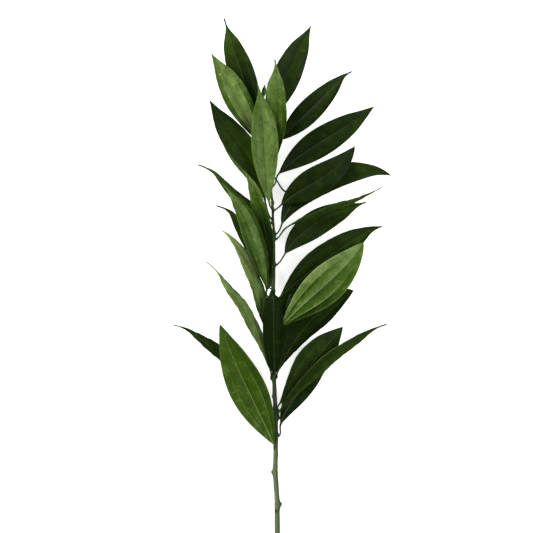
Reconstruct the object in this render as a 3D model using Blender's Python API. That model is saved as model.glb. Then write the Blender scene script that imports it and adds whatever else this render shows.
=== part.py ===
"""A cut branch of cocculus foliage, lying on its cut end and on two leaves of its back.

X runs to the right, Y along the stem towards its tip, and Z up, away from the surface below.
Tables and sizes are in millimetres. The meshes are made in metres.
"""

import math
import random
from collections import namedtuple

import bmesh
import bpy
import numpy as np
from mathutils import Vector

MM = 0.001

# Sizes that drive the branch
CUT_END_Y = -278.6
STEM_TIP_Y = 192.0
CUT_RADIUS = 2.65
CUSHION_HEIGHT = 0.9
CUSHION_FOOT_RADIUS = 1.5
CUSHION_TOP_RADIUS = 1.05
SEAT_GAP = 0.3
SEAT_TILT = 30.0
STALK_RADIUS = 0.9
FOOT_HALF_WIDTH = 1.2
TIP_HALF_WIDTH = 0.45
BLADE_THICKNESS = 0.8

# The shape that all blades share
HALF_ARCH = 0.7
MARGIN_WAVE = 0.8
MARGIN_WAVES = 2.4
BLUNT_POWER = 0.8
DRAWN_SHARE = 0.25
HOOK_SHARE = 0.15

# How deep a nub is rooted, as a share of the stem's radius, and how much a scar tapers
NUB_ROOT_SHARE = 0.3
SCAR_TOP_SHARE = 0.55

# Colours and gloss
LEAF_COLOURS = {
    "dark": (0.018, 0.045, 0.008),
    "mid": (0.045, 0.105, 0.012),
    "light": (0.11, 0.2, 0.045),
}
STEM_COLOUR = (0.09, 0.15, 0.04)
LEAF_ROUGHNESS = 0.35
STEM_ROUGHNESS = 0.6

# How finely the solids are cut
STEM_SIDES = 10
STEM_STEPS = 22
NUB_SIDES = 5
STALK_STEPS = (0.0, 0.35, 0.7)
BLADE_STEPS = (0.0, 0.07, 0.16, 0.26, 0.37, 0.48, 0.59, 0.7, 0.8, 0.89, 0.955, 1.0)
ACROSS = (-1.0, -0.5, 0.0, 0.5, 1.0)

# The stem's middle line, from the cut end to the tip: y, x, z, radius
STEM_COURSE = (
    (CUT_END_Y, -3.3, 2.52, CUT_RADIUS),
    (-262.0, -3.5, 2.52, CUT_RADIUS),
    (-236.6, -4.1, 3.0, 2.6),
    (-205.0, -4.5, 4.7, 2.55),
    (-176.0, -6.0, 7.0, 2.45),
    (-150.0, -5.7, 9.8, 2.35),
    (-127.0, -5.7, 12.3, 2.2),
    (-106.0, -6.3, 14.7, 2.1),
    (-82.6, -7.4, 17.4, 1.9),
    (-40.0, -7.8, 21.8, 1.65),
    (7.4, -7.8, 26.0, 1.4),
    (28.4, -7.4, 27.6, 1.35),
    (57.4, -7.5, 29.4, 1.25),
    (85.4, -8.8, 31.2, 1.2),
    (116.4, -11.5, 32.5, 1.15),
    (156.4, -15.5, 33.6, 1.05),
    (STEM_TIP_Y, -19.3, 34.6, 0.8),
)

# Scars of fallen leaves and dried buds on the bare stem: y, side in degrees, height, radius
STEM_SCARS = (
    (-218.0, 115.0, 0.6, 1.5),
    (-212.0, 10.0, 2.6, 1.6),
    (-179.5, 175.0, 2.2, 1.5),
    (-161.0, 0.0, 0.9, 1.0),
    (-246.0, 100.0, 0.7, 1.4),
    (-102.5, 180.0, 2.1, 0.8),
    (-115.0, 200.0, 1.2, 0.9),
    (92.5, 5.0, 2.2, 0.7),
)

# One leaf. Sides and angles are in degrees, lengths in millimetres.
#   shade: its green
#   stem_y, side: where its stalk leaves the stem, along it and around it (0 right, 90 up)
#   midrib: four points at equal steps from the foot of the blade to its tip
#   width, widest: full width, and how far along the blade it is reached
#   fold: how far both halves lift from flat; roll: turn about the midrib at foot and tip
#   point: 0 for a blunt end, 1 for a long drawn-out one; hook: sideways bend of the last part
Leaf = namedtuple("Leaf", "name shade stem_y side midrib width widest fold roll point hook")

LEAVES = (
    Leaf("leaf_left_1", "mid", -154, 120,
         ((-7.2, -149.6, 13.8), (-26.5, -108.6, 17), (-44.6, -70.4, 20), (-61.8, -28.1, 18)),
         37.5, 0.465, 6, (0, -6), 0.1, 0),
    Leaf("leaf_left_2", "dark", -117, 200,
         ((-19.5, -102.6, 11), (-45.8, -74, 8), (-74.6, -48.8, 8), (-107, -25.7, 7)),
         20, 0.45, 14, (40, 60), 0.5, 4),
    Leaf("leaf_left_3", "light", -85, 160,
         ((-10.4, -77, 20.1), (-28.5, -29.5, 27.4), (-49.5, 3, 32), (-71.5, 37.5, 33)),
         20.5, 0.43, 5, (52, 62), 1.0, 5.2),
    Leaf("leaf_left_4", "light", -51, 170,
         ((-16.7, -32.6, 23), (-22.5, 0.4, 27.6), (-35.8, 35.8, 30), (-58.6, 67.3, 28)),
         20.5, 0.45, 5, (48, 50), 0.1, 1.5),
    Leaf("leaf_left_5", "dark", -6, 210,
         ((-15, 5.4, 18.8), (-19.5, 33.5, 12.5), (-38, 64, 13), (-56.5, 95.3, 17.5)),
         19, 0.42, 10, (10, 30), 0.5, 10.5),
    Leaf("leaf_left_6", "light", 6, 145,
         ((-14.7, 10.4, 30), (-24.5, 46.4, 37), (-38, 81.9, 40), (-59.2, 113, 38)),
         24, 0.45, 6, (30, 38), 0.7, 0),
    Leaf("leaf_left_7", "light", 9, 175,
         ((-10.5, 13.4, 26.5), (-14.2, 53.4, 29.5), (-23.5, 94.8, 29.5), (-40.6, 134.4, 28)),
         24, 0.5, 5, (-48, -52), 0.7, 0),
    Leaf("leaf_left_8", "dark", 51, 210,
         ((-13.5, 58.4, 24), (-24.5, 79.4, 15.2), (-49, 103, 16), (-75.3, 137.2, 25)),
         15, 0.38, 14, (10, 30), 0.3, 10.5),
    Leaf("leaf_left_9", "dark", 72, 160,
         ((-16.7, 99.4, 33), (-30, 133.4, 36), (-51, 163.4, 37), (-71.6, 196.1, 34)),
         28, 0.53, 6, (12, 15), 0.3, 0),
    Leaf("leaf_left_10", "light", 136, 150,
         ((-19.5, 150.4, 37), (-34.5, 178.5, 42), (-51, 209.5, 43), (-70.1, 242.5, 39)),
         27, 0.55, 8, (10, 20), 0.3, 0),
    Leaf("leaf_left_11", "dark", 152, 200,
         ((-21.5, 167.4, 30), (-34, 205.5, 28), (-46.5, 243.5, 29), (-57.6, 278.7, 30)),
         27, 0.46, 6, (-10, -15), 0.9, 0),
    Leaf("leaf_right_1", "dark", -142, -10,
         ((-1, -129.6, 9.5), (10.5, -105.6, 7.5), (27, -87.5, 6.5), (46, -72.5, 6)),
         20, 0.48, 4, (0, 0), 0.3, 0),
    Leaf("leaf_right_2", "dark", -119, 10,
         ((-3.4, -110.2, 18), (17.5, -84.6, 22), (39.5, -56.6, 24), (61.5, -30.6, 23)),
         34, 0.55, -16, (45, 0), 0.2, 0),
    Leaf("leaf_right_3", "dark", -83, 15,
         ((-4.6, -78.5, 20.5), (13.5, -45, 20), (39, -15, 24), (72.3, 5.9, 25)),
         39.5, 0.555, -25, (46, 4), 0.0, 0),
    Leaf("leaf_right_4", "light", -42, 60,
         ((-2.2, -33.2, 29), (25.5, -4.6, 37), (54.5, 21.5, 41), (82, 53.9, 37)),
         38, 0.54, 8, (5, 0), 0.0, 0),
    Leaf("leaf_right_5", "dark", -5, -5,
         ((-0.5, 0.4, 25), (31, 27, 27), (64.4, 51.4, 29), (99.3, 73.3, 28)),
         31, 0.45, -6, (10, 15), 0.4, -4),
    Leaf("leaf_right_6", "dark", 30, -20,
         ((3.3, 42.4, 25), (24, 65.9, 22), (52.5, 82.4, 22), (85.3, 94.6, 21)),
         27, 0.45, 6, (5, 5), 0.6, 0),
    Leaf("leaf_right_7", "dark", 56, 0,
         ((4.5, 68.4, 31), (36.5, 84.1, 35), (69.5, 95.4, 36), (100.5, 109.4, 33)),
         17, 0.5, 4, (68, 72), 0.8, 0),
    Leaf("leaf_right_8", "dark", 61, 20,
         ((0, 71.4, 31), (23, 105.5, 30), (62, 123, 30), (110.1, 125, 28)),
         28, 0.46, 6, (5, 5), 0.1, -4),
    Leaf("leaf_right_9", "dark", 85, 25,
         ((-0.5, 91.4, 34), (22.5, 108, 38), (49, 124.5, 39), (73.3, 150, 36)),
         30, 0.47, 5, (5, 5), 0.0, 0),
    Leaf("leaf_right_10", "dark", 109, 0,
         ((-3, 122.4, 33), (25.8, 145.7, 31), (59.3, 167.1, 32), (92.5, 190, 30)),
         29, 0.48, 5, (5, 5), 0.2, 0),
    Leaf("leaf_right_11", "dark", 134, 10,
         ((-1, 156.5, 34), (22.1, 180, 34), (45.2, 203.2, 36), (67.8, 227.6, 34)),
         24, 0.42, 6, (5, 0), 0.5, -4),
    Leaf("leaf_right_12", "dark", 156, -15,
         ((-14.5, 172.4, 31), (-2.5, 204.4, 29), (13.5, 239.4, 31), (29.5, 270.6, 31)),
         29, 0.48, 6, (10, 15), 0.4, 0),
    Leaf("leaf_front_1", "dark", -86, 80,
         ((-6.9, -80.2, 21.7), (-7.8, -47, 36), (-8.2, -9, 44), (-7.2, 2, 34)),
         26.5, 0.455, -38, (3, 0), 0.0, 0),
    Leaf("leaf_front_2", "light", 84, 95,
         ((-12, 92.4, 41), (-16, 132.4, 49), (-18.2, 172.4, 53), (-23.9, 211.4, 48)),
         28, 0.5, 6, (18, 10), 0.6, 0),
    Leaf("leaf_front_3", "light", 116, 60,
         ((-6, 136.4, 40), (-5, 170.4, 44), (-5.5, 203.4, 45), (-4.9, 237, 41)),
         24, 0.48, 10, (-20, -20), 0.6, 1.8),
    Leaf("leaf_back_1", "dark", -58, -50,
         ((-2.5, -49, 15.5), (2, -23, 12.5), (7.5, 2, 8.5), (14.5, 26.4, 5)),
         20, 0.38, 5, (0, 0), 0.3, 0),
    Leaf("leaf_back_2", "dark", 76, 225,
         ((-17.5, 98.4, 25), (-33.5, 130.4, 10), (-50.5, 157.4, -0.6), (-66.5, 184.4, 3)),
         22, 0.5, 4, (0, 0), 0.5, 0),
    Leaf("leaf_back_3", "dark", 118, -40,
         ((5, 105, 22), (25, 108, 9), (47, 114, -0.6), (70, 121, 3)),
         21, 0.5, 4, (0, 0), 0.5, 0),
    Leaf("leaf_right_13", "dark", -125, 20,
         ((-2.8, -116.4, 18), (28.2, -79.2, 28), (64, -49.8, 27), (105.2, -26, 22)),
         15.5, 0.48, 14, (38, 34), 0.6, -2),
    Leaf("leaf_young", "light", 190, 60,
         ((-18.6, 198.4, 35.6), (-17.9, 203, 35.9), (-17.3, 207.4, 36), (-16.9, 211.2, 36)),
         5, 0.45, 25, (0, 0), 0.6, 0),
)


def stem_at(y):
    """Middle and radius of the stem at y, on a smooth curve through its course."""
    course = np.array(STEM_COURSE)
    places, values = course[:, 0], course[:, 1:]
    slopes = np.gradient(values, places, axis=0)
    i = int(np.clip(np.searchsorted(places, y) - 1, 0, len(places) - 2))
    step = places[i + 1] - places[i]
    t = (y - places[i]) / step
    x, z, radius = (
        (1 + 2 * t) * (1 - t) ** 2 * values[i]
        + t * (1 - t) ** 2 * step * slopes[i]
        + t * t * (3 - 2 * t) * values[i + 1]
        + t * t * (t - 1) * step * slopes[i + 1]
    )
    return np.array((x, y, z)), radius


def unit(vector):
    return vector / np.linalg.norm(vector)


def outward(side):
    """Direction in which a stalk leaves the stem: around it at the angle side, tilted to its tip."""
    around, tilt = math.radians(side), math.radians(SEAT_TILT)
    return np.array(
        (
            math.cos(around) * math.cos(tilt),
            math.sin(tilt),
            math.sin(around) * math.cos(tilt),
        )
    )


def cross_frame(ahead, roll):
    """Left and upward unit vectors across the direction ahead, turned about it by roll degrees."""
    left = unit(np.cross((0, 0, 1), ahead))
    up = np.cross(ahead, left)
    angle = math.radians(roll)
    return (
        left * math.cos(angle) + up * math.sin(angle),
        up * math.cos(angle) - left * math.sin(angle),
    )


def through_four(points, u):
    """The smooth curve that passes four points at u = 0, 1/3, 2/3 and 1."""
    t = 3 * u
    weights = (
        -(t - 1) * (t - 2) * (t - 3) / 6,
        t * (t - 2) * (t - 3) / 2,
        -t * (t - 1) * (t - 3) / 2,
        t * (t - 1) * (t - 2) / 6,
    )
    return sum(weight * np.array(point, float) for weight, point in zip(weights, points))


def midrib_at(leaf, u):
    """Point of the midrib at u, with the bend of the hooked tip."""
    point = through_four(leaf.midrib, u)
    ahead = unit(point - through_four(leaf.midrib, u - 0.01))
    left, _ = cross_frame(ahead, 0)
    bent = max(0.0, (u - 1 + HOOK_SHARE) / HOOK_SHARE)
    return point + left * leaf.hook * bent * bent


def heading_at(leaf, u):
    low, high = max(0.0, u - 0.01), min(1.0, u + 0.01)
    return unit(midrib_at(leaf, high) - midrib_at(leaf, low))


def outline(leaf, u):
    """Share of the full width that the blade has at u."""
    along = u ** (math.log(0.5) / math.log(leaf.widest))
    swell = max(0.0, math.sin(math.pi * along))
    share = swell ** (1.0 if along < 0.5 else BLUNT_POWER + (1 - BLUNT_POWER) * leaf.point)
    near_tip = min(1.0, (1 - u) / DRAWN_SHARE)
    drawn = near_tip * near_tip * (3 - 2 * near_tip)
    return share * (1 - leaf.point * (1 - drawn))


def blade_ring(leaf, u, phases):
    """Points round the blade at u: its upper face from left to right, then its lower face back."""
    middle = midrib_at(leaf, u)
    roll = leaf.roll[0] + (leaf.roll[1] - leaf.roll[0]) * u
    left, up = cross_frame(heading_at(leaf, u), roll)
    share = outline(leaf, u)
    least = FOOT_HALF_WIDTH + (TIP_HALF_WIDTH - FOOT_HALF_WIDTH) * u
    half_width = max(share * leaf.width / 2, least)
    fold = math.radians(leaf.fold)
    upper, lower = [], []
    for v in ACROSS:
        away = abs(v) * up * math.sin(fold) - v * left * math.cos(fold)
        arch = 4 * abs(v) * (1 - abs(v)) * HALF_ARCH * share
        turn = 2 * math.pi * MARGIN_WAVES * u + phases[0 if v < 0 else 1]
        wave = v * v * MARGIN_WAVE * share * math.sin(turn)
        point = middle + half_width * away + (arch + wave) * up
        upper.append(pressed(point + up * BLADE_THICKNESS / 2, BLADE_THICKNESS))
        lower.append(pressed(point - up * BLADE_THICKNESS / 2, 0.0))
    return upper + lower[::-1]


def pressed(point, lowest):
    """A point that the surface below keeps from going lower."""
    return np.array((point[0], point[1], max(point[2], lowest)))


def stalk_rings(leaf):
    """Rings of the stalk, from its seat on the stem to just short of the blade's foot."""
    centre, radius = stem_at(leaf.stem_y)
    away = outward(leaf.side)
    seat = centre + away * (radius + CUSHION_HEIGHT + SEAT_GAP)
    foot, foot_way = midrib_at(leaf, 0.0), heading_at(leaf, 0.0)
    reach = np.linalg.norm(foot - seat)
    rings = []
    for t in STALK_STEPS:
        middle = (
            (1 + 2 * t) * (1 - t) ** 2 * seat
            + t * (1 - t) ** 2 * reach * away
            + t * t * (3 - 2 * t) * foot
            + t * t * (t - 1) * reach * foot_way
        )
        ahead = (
            6 * t * (1 - t) * (foot - seat)
            + (1 - t) * (1 - 3 * t) * reach * away
            + t * (3 * t - 2) * reach * foot_way
        )
        left, up = cross_frame(unit(ahead), leaf.roll[0] * t)
        angles = [math.pi * (1 - (k + 0.5) / len(ACROSS)) for k in range(2 * len(ACROSS))]
        rings.append(
            [middle + STALK_RADIUS * (up * math.sin(a) - left * math.cos(a)) for a in angles]
        )
    return rings


def ring_faces(ring_count):
    """Triangles over rings of points, split alike on the upper and the lower face of a blade."""
    size, last = 2 * len(ACROSS), len(ACROSS) - 1
    faces = []
    for i in range(ring_count - 1):
        for j in range(size):
            k = (j + 1) % size
            a, b, c, d = i * size + j, i * size + k, (i + 1) * size + k, (i + 1) * size + j
            if j < last or j == size - 1:
                faces += [(a, b, c), (a, c, d)]
            else:
                faces += [(a, b, d), (b, c, d)]
    end = (ring_count - 1) * size
    for j in range(last):
        a, b, c, d = j, j + 1, size - 2 - j, size - 1 - j
        faces += [(c, b, a), (d, c, a)]
        faces += [(end + a, end + b, end + c), (end + a, end + c, end + d)]
    return faces


def mesh_object(name, points, faces, colour, roughness):
    """One closed mesh as an object with its own material. Points are in millimetres."""
    mesh = bpy.data.meshes.new(name)
    mesh.from_pydata([tuple(point * MM) for point in points], [], faces)
    mesh.materials.append(finish(name, colour, roughness))
    mesh.shade_smooth()
    mesh.set_sharp_from_angle(angle=math.radians(40))
    piece = bpy.data.objects.new(name, mesh)
    bpy.context.scene.collection.objects.link(piece)
    return piece


def finish(name, colour, roughness):
    material = bpy.data.materials.new(name + "_finish")
    material.use_nodes = True
    shader = material.node_tree.nodes["Principled BSDF"]
    shader.inputs["Base Color"].default_value = (*colour, 1.0)
    shader.inputs["Roughness"].default_value = roughness
    shader.inputs["Metallic"].default_value = 0.0
    return material


def make_leaf(leaf, seed):
    """A leaf with its stalk, as one loft from the seat on the stem to the tip of the blade."""
    draw = random.Random(seed)
    phases = (draw.uniform(0, 2 * math.pi), draw.uniform(0, 2 * math.pi))
    rings = stalk_rings(leaf) + [blade_ring(leaf, u, phases) for u in BLADE_STEPS]
    points = [point for ring in rings for point in ring]
    return mesh_object(
        leaf.name, points, ring_faces(len(rings)), LEAF_COLOURS[leaf.shade], LEAF_ROUGHNESS
    )


def stem_tube():
    """The bare stem as a many-sided tapering tube. A flat side faces down."""
    places = np.linspace(CUT_END_Y, STEM_TIP_Y, STEM_STEPS)
    angles = [math.pi * ((2 * k + 1) / STEM_SIDES - 0.5) for k in range(STEM_SIDES)]
    points = []
    for y in places:
        middle, radius = stem_at(y)
        points += [
            middle + radius * np.array((math.cos(a), 0.0, math.sin(a))) for a in angles
        ]
    points.append(stem_at(CUT_END_Y)[0])
    points.append(stem_at(STEM_TIP_Y)[0] + np.array((0.0, stem_at(STEM_TIP_Y)[1], 0.0)))
    first, last = len(points) - 2, len(points) - 1
    end = (STEM_STEPS - 1) * STEM_SIDES
    faces = []
    for i in range(STEM_STEPS - 1):
        for j in range(STEM_SIDES):
            k = (j + 1) % STEM_SIDES
            a, b = i * STEM_SIDES + j, i * STEM_SIDES + k
            c, d = b + STEM_SIDES, a + STEM_SIDES
            faces += [(a, d, c), (a, c, b)]
    for j in range(STEM_SIDES):
        k = (j + 1) % STEM_SIDES
        faces += [(first, j, k), (last, end + k, end + j)]
    return mesh_object("stem", points, faces, STEM_COLOUR, STEM_ROUGHNESS)


def add_nub(home, y, away, height, foot_radius, top_radius):
    """A small tapered nub, rooted inside the stem, in the collection that joins it later."""
    centre, radius = stem_at(y)
    root = centre + away * radius * NUB_ROOT_SHARE
    length = radius * (1 - NUB_ROOT_SHARE) + height
    mesh = bpy.data.meshes.new("nub")
    shape = bmesh.new()
    bmesh.ops.create_cone(
        shape,
        cap_ends=True,
        segments=NUB_SIDES,
        radius1=foot_radius * MM,
        radius2=top_radius * MM,
        depth=length * MM,
    )
    shape.to_mesh(mesh)
    shape.free()
    nub = bpy.data.objects.new("nub", mesh)
    nub.location = Vector((root + away * length / 2) * MM)
    nub.rotation_mode = "QUATERNION"
    nub.rotation_quaternion = Vector(away).to_track_quat("Z", "Y")
    home.objects.link(nub)


def make_stem():
    """The stem with a cushion under each stalk and the scars on its bare length, in one body."""
    stem = stem_tube()
    nubs = bpy.data.collections.new("nubs")
    bpy.context.scene.collection.children.link(nubs)
    for leaf in LEAVES:
        add_nub(
            nubs,
            leaf.stem_y,
            outward(leaf.side),
            CUSHION_HEIGHT,
            CUSHION_FOOT_RADIUS,
            CUSHION_TOP_RADIUS,
        )
    for y, side, height, radius in STEM_SCARS:
        add_nub(nubs, y, outward(side), height, radius, radius * SCAR_TOP_SHARE)
    join = stem.modifiers.new("join nubs", "BOOLEAN")
    join.operation = "UNION"
    join.solver = "EXACT"
    join.operand_type = "COLLECTION"
    join.collection = nubs
    bpy.context.view_layer.update()
    joined = bpy.data.meshes.new_from_object(
        stem.evaluated_get(bpy.context.evaluated_depsgraph_get())
    )
    stem.modifiers.clear()
    stem.data = joined
    for nub in list(nubs.objects):
        bpy.data.objects.remove(nub)
    bpy.data.collections.remove(nubs)
    return stem


def main():
    for piece in list(bpy.data.objects):
        bpy.data.objects.remove(piece)
    make_stem()
    for seed, leaf in enumerate(LEAVES):
        make_leaf(leaf, seed)


main()
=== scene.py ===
"""The looks of a cut branch of cocculus foliage that lies on a surface.

Each leaf is made again as a fine mesh over the same midrib as its solid, with nerves, waved
margins and its own green, into which its light and shade are painted. The stem gets its bark,
cushions, buds, scars and cut face, with painted shade and painted highlights on its bark.
X runs to the right, Y along the stem towards its tip, and Z up. The tables are in millimetres.
"""

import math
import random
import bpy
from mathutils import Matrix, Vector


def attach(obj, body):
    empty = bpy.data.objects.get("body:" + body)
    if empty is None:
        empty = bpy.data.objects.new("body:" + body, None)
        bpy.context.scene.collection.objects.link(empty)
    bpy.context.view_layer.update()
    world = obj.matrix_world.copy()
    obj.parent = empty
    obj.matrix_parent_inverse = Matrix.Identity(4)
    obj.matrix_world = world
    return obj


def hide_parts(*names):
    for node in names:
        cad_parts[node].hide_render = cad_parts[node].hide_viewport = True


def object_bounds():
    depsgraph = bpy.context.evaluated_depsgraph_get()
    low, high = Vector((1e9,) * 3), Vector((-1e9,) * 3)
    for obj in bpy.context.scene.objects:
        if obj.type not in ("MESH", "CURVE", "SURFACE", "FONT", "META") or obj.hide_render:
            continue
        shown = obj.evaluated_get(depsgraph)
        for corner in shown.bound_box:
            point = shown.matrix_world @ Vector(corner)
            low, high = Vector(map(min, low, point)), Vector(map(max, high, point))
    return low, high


bl_info = {
    "name": "Cocculus branch",
    "version": (1, 0, 0),
    "blender": (4, 5, 0),
    "location": "3D View > Sidebar > Branch",
    "description": "Makes a cut branch of glossy three-nerved leaves and a plain stage for it",
    "category": "Object",
}

from collections import namedtuple
from types import SimpleNamespace

import bpy
import numpy as np
from bpy.props import FloatProperty, FloatVectorProperty, PointerProperty
from mathutils import Vector

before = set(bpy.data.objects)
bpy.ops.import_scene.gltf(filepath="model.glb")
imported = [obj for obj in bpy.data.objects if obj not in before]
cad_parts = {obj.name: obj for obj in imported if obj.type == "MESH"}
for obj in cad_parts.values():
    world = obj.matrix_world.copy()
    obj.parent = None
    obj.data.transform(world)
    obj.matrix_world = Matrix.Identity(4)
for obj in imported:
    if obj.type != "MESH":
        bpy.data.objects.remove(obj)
SOLID_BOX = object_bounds()

MM = 0.001

# The stem and the seats of its stalks, as the solids have them
CUT_END_Y = -278.6
STEM_TIP_Y = 192.0
CUT_RADIUS = 2.65
CUSHION_HEIGHT = 0.9
SEAT_GAP = 0.3
SEAT_TILT = 30.0

# A blade, as its solid has it
FOOT_HALF_WIDTH = 1.2
TIP_HALF_WIDTH = 0.8
HALF_ARCH = 0.7
MARGIN_WAVE = 0.8
MARGIN_WAVES = 2.4
BLUNT_POWER = 0.8
DRAWN_SHARE = 0.25
HOOK_SHARE = 0.15

# Finer forms of a blade: shares of its length where its foot turns round and its tip closes,
# short waves (count, shift of the leaf's phase, height), its thin margin, and its nerves
FOOT_ROUNDING = 0.025
TIP_CLOSING = 0.012
SHORT_WAVES = ((9.5, 2.3, 1.0), (17.0, 1.0, 0.6))
MARGIN_START = 0.86
GROOVE_DEPTH = 0.15
GROOVE_REACH = 0.45
MIDRIB_REACH = 0.8
SIDE_NERVE_DEPTH = 0.22
SIDE_NERVE_REACH = 0.5

# A stalk: how deep its cushion holds it, the place of its last ring, and its thicker ends
STALK_SINK = 1.3
STALK_END = 0.94
SUNK_SWELL = 0.3
SEAT_SWELL = 0.35
FOOT_SWELL = 0.15

# Nubs on the stem: how far the peak and the slope of each reach
CUSHION_SPREAD = (1.5, 3.5)
SCAR_SPREAD = (1.5, 8.0)
BUD_SPREAD = (0.6, 0.8)
BUD_HEIGHT = 0.7
BUD_RISE = 2.2

# The stem's rounded tip, its cut face with the deeper pith, and where its bark turns old, which is also
# where the painted shade of the leaves on it ends
STEM_CLOSING = 1.5
WOOD_DEPTH = 0.08
PITH_DEPTH = 0.3
PITH_SHARE = 0.32
SHADED_NEW_BARK_Y = -144.0
UNSHADED_OLD_BARK_Y = -156.0

# How finely the leaves are cut: shares of the half width, rings along the blade and the stalk
HALF_ACROSS = (
    0.0, 0.025, 0.06, 0.11, 0.18, 0.27, 0.37, 0.46, 0.52, 0.56, 0.6, 0.65, 0.72, 0.8, 0.88, 0.94,
    0.98, 1.0,
)
ACROSS = tuple(-v for v in HALF_ACROSS[:0:-1]) + HALF_ACROSS
BLADE_RINGS = 72
STALK_RINGS = 10

# How finely the stem is cut: sides, steps between rings, closer near nubs, rings of the cut face
STEM_SIDES = 40
STEM_STEP = 2.0
NUB_STEP = 0.3
NUB_REACH = 5.0
CUT_SHARES = (0.96, 0.86, 0.7, 0.5, 0.34, 0.3, 0.2, 0.08)

# The stem's middle line, from the cut end to the tip: y, x, z, radius
STEM_COURSE = (
    (CUT_END_Y, -3.3, 2.52, CUT_RADIUS),
    (-262, -3.5, 2.52, CUT_RADIUS),
    (-236.6, -4.1, 3, 2.6),
    (-205, -4.5, 4.7, 2.55),
    (-176, -6, 7, 2.45),
    (-150, -5.7, 9.8, 2.35),
    (-127, -5.7, 12.3, 2.2),
    (-106, -6.3, 14.7, 2.1),
    (-82.6, -7.4, 17.4, 1.9),
    (-40, -7.8, 21.8, 1.65),
    (7.4, -7.8, 26, 1.4),
    (28.4, -7.4, 27.6, 1.35),
    (57.4, -7.5, 29.4, 1.25),
    (85.4, -8.8, 31.2, 1.2),
    (116.4, -11.5, 32.5, 1.15),
    (156.4, -15.5, 33.6, 1.05),
    (STEM_TIP_Y, -19.3, 34.6, 0.8),
)

# Scars of fallen leaves and dried buds on the bare stem: y, side in degrees, height, darkness.
# A darkness below 0 makes a pale spot, a painted highlight on the lit side of the stem.
STEM_SCARS_AND_HIGHLIGHTS = (
    (-218, 115, 0.5, 1),
    (-212, 10, 3.2, 0.35),
    (-179.5, 175, 2.5, 0.3),
    (-161, 0, 0.6, 0.6),
    (-200, 150, 0.1, -1),
    (-204, 152, 0.1, -0.9),
    (-207.5, 150, 0.1, -0.7),
    (-246, 100, 0.5, 0.9),
    (-102.5, 180, 1.3, 0.5),
    (-115, 200, 0.9, 0.5),
    (92.5, 5, 1.4, 0.5),
)

# One leaf, as its solid has it. Sides and angles are in degrees. A row's place in the table
# sets the leaf's own waves and marks, so the rows keep their order.
#   stem_y, side: where its stalk leaves the stem, along it and around it (0 right, 90 up)
#   width, widest: full width, and how far along the blade it is reached
#   fold: how far both halves lift from flat; roll: turn about the midrib at foot and tip
#   point: 0 for a blunt end, 1 for a long drawn-out one; hook: sideways bend of the last part
#   midrib: four points at equal steps from the foot of the blade to its tip
Leaf = namedtuple("Leaf", "name stem_y side width widest fold roll point hook midrib look")

# How a leaf looks, with its light and shade painted into its tones. Tones run from 0 for the
# deepest green to 1 for a pale one with a painted sheen, and on past it for more painted light.
# One below 0 keeps the deepest green for longer on the way to the other end.
#   foot, tip: tone at each end of the four strips that the three nerves part, from left to right;
#   they paint lit and shaded strips, and ends lit more or less than the rest of the leaf
#   rim: how pale the margin is, a painted highlight along it; nerve, side: how plainly the midrib
#   and the two side nerves show
#   lean: how much the tone of each strip rises from its inner to its outer side, painted shading
#   across the curved blade
Look = namedtuple("Look", "foot tip rim nerve side lean", defaults=((0, 0, 0, 0),))

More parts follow.
